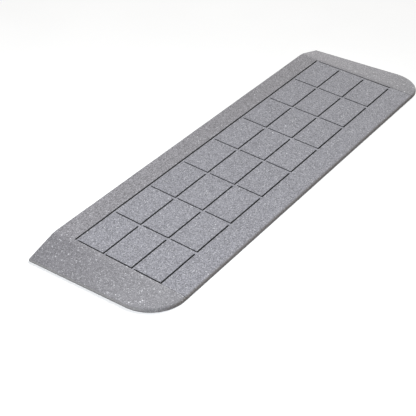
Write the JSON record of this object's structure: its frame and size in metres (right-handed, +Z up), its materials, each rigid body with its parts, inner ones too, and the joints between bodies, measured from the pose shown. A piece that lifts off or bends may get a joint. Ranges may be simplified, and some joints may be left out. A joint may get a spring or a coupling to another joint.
{
  "type": "portable wheelchair ramp",
  "caption": "Moulded rubber threshold ramp: a low wedge with a grooved tread and tapered side wings, which lies on the floor against a raised door sill.",
  "frame": {"origin": "middle of the footprint, on the floor", "axes": "+X along the door sill, +Y up the slope towards the tall back face, +Z up"},
  "size_m": [1.0784, 0.3114, 0.0254],
  "materials": {
    "deck_rubber": "matte moulded granulated rubber, mid grey with fine pale flecks",
    "wing_rubber": "matte moulded granulated rubber, mid grey with fine pale flecks",
    "dowel_nylon": "plain natural nylon rod"
  },
  "bodies": {
    "root": {"deck": "deck_rubber", "left_wing": "wing_rubber", "right_wing": "wing_rubber", "left_dowel_1": "dowel_nylon", "left_dowel_2": "dowel_nylon", "left_dowel_3": "dowel_nylon", "right_dowel_1": "dowel_nylon", "right_dowel_2": "dowel_nylon", "right_dowel_3": "dowel_nylon"}
  },
  "joints": []
}
